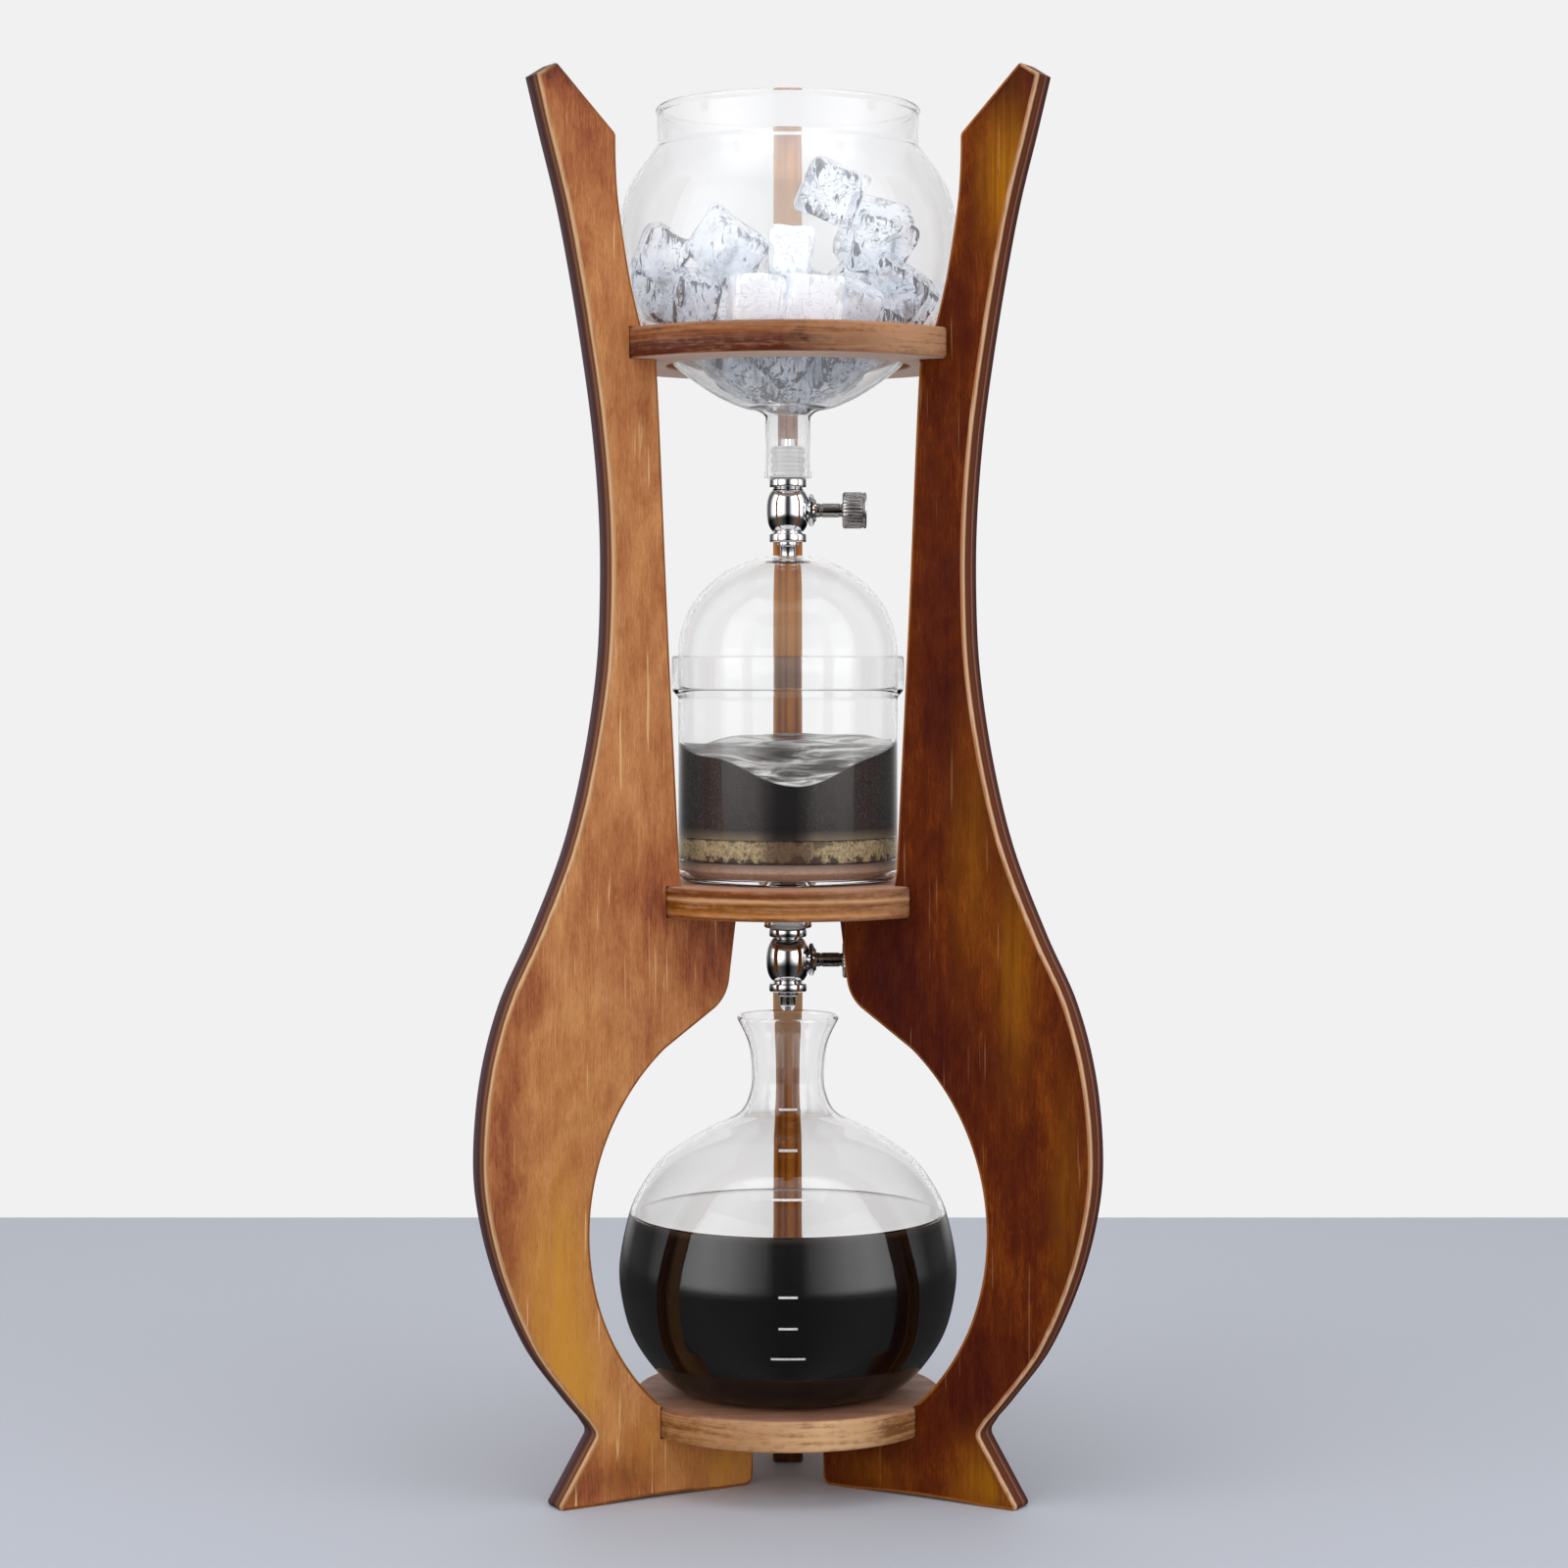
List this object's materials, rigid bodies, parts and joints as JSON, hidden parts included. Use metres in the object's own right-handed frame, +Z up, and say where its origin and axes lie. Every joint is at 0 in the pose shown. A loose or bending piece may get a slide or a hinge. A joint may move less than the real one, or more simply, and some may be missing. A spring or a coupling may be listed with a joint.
{
  "type": "cold drip coffee tower",
  "caption": "Cold drip coffee tower: curved plywood legs hold a glass globe with a needle valve, a domed coffee chamber with its own valve, and a flask.",
  "frame": {"origin": "the tower's axis at the height of the table that it stands on", "axes": "+Z up along the axis of the vessels; the single rear leg points along +Y; the valve knobs point along +X"},
  "size_m": [0.2388, 0.208, 0.5494],
  "materials": {
    "stained_plywood": "warm brown stain under satin varnish, pale ply lines at the edges",
    "shelf_plywood": "lighter brown stain, ply layers on the rim",
    "dowel_wood": "bare beech",
    "clear_glass": "clear borosilicate, fire-polished rims",
    "polished_chrome": "polished",
    "knob_chrome": "fluted, satin on the flutes",
    "turned_steel": "turned bright",
    "packing_plastic": "plain",
    "silicone": "translucent matte",
    "filter_ceramic": "porous, coffee-stained",
    "gasket_rubber": "matte"
  },
  "bodies": {
    "tower": {"leg_left": "stained_plywood", "leg_right": "stained_plywood", "leg_back": "stained_plywood", "top_ring": "stained_plywood", "middle_shelf": "shelf_plywood", "bottom_shelf": "shelf_plywood", "ring_dowels": "dowel_wood", "middle_dowels": "dowel_wood", "bottom_dowels": "dowel_wood"},
    "flask": {"flask": "clear_glass"},
    "chamber": {"coffee_chamber": "clear_glass", "ceramic_filter": "filter_ceramic", "filter_gasket": "gasket_rubber", "lower_stopper": "silicone", "lower_valve_body": "polished_chrome", "lower_packing_nut": "polished_chrome", "lower_packing_ring": "packing_plastic", "lower_nozzle": "polished_chrome"},
    "lower_spindle": {"lower_spindle": "turned_steel"},
    "lower_knob": {"lower_knob": "knob_chrome"},
    "dome": {"dome_cover": "clear_glass"},
    "globe": {"globe": "clear_glass", "upper_stopper": "silicone", "upper_valve_body": "polished_chrome", "upper_packing_nut": "polished_chrome", "upper_packing_ring": "packing_plastic", "upper_nozzle": "polished_chrome"},
    "upper_spindle": {"upper_spindle": "turned_steel"},
    "upper_knob": {"upper_knob": "knob_chrome"}
  },
  "joints": [
    {"name": "flask_slide", "type": "slide", "parent": "tower", "child": "flask", "axis": [0, -1, 0], "range_m": [0, 0.2]},
    {"name": "chamber_lift", "type": "slide", "parent": "tower", "child": "chamber", "axis": [0, 0, 1], "range_m": [0, 0.27]},
    {"name": "dome_lift", "type": "slide", "parent": "chamber", "child": "dome", "axis": [0, 0, 1], "range_m": [0, 0.14]},
    {"name": "globe_lift", "type": "slide", "parent": "dome", "child": "globe", "axis": [0, 0, 1], "range_m": [0, 0.19]},
    {"name": "upper_spindle_travel", "type": "slide", "parent": "globe", "child": "upper_spindle", "axis": [1, 0, 0], "range_m": [-0.00122, 0.00122]},
    {"name": "upper_knob_turn", "type": "hinge", "parent": "upper_spindle", "child": "upper_knob", "pos_m": [0.0264, 0, 0.382], "axis": [1, 0, 0], "range_deg": [-540, 540]},
    {"name": "lower_spindle_travel", "type": "slide", "parent": "chamber", "child": "lower_spindle", "axis": [1, 0, 0], "range_m": [-0.00122, 0.00122]},
    {"name": "lower_knob_turn", "type": "hinge", "parent": "lower_spindle", "child": "lower_knob", "pos_m": [0.0264, 0, 0.2042], "axis": [1, 0, 0], "range_deg": [-540, 540]}
  ],
  "couplings": [
    {"joint": "upper_spindle_travel", "follows": "upper_knob_turn", "m_per_rad": 0.00012732},
    {"joint": "lower_spindle_travel", "follows": "lower_knob_turn", "m_per_rad": 0.00012732}
  ]
}
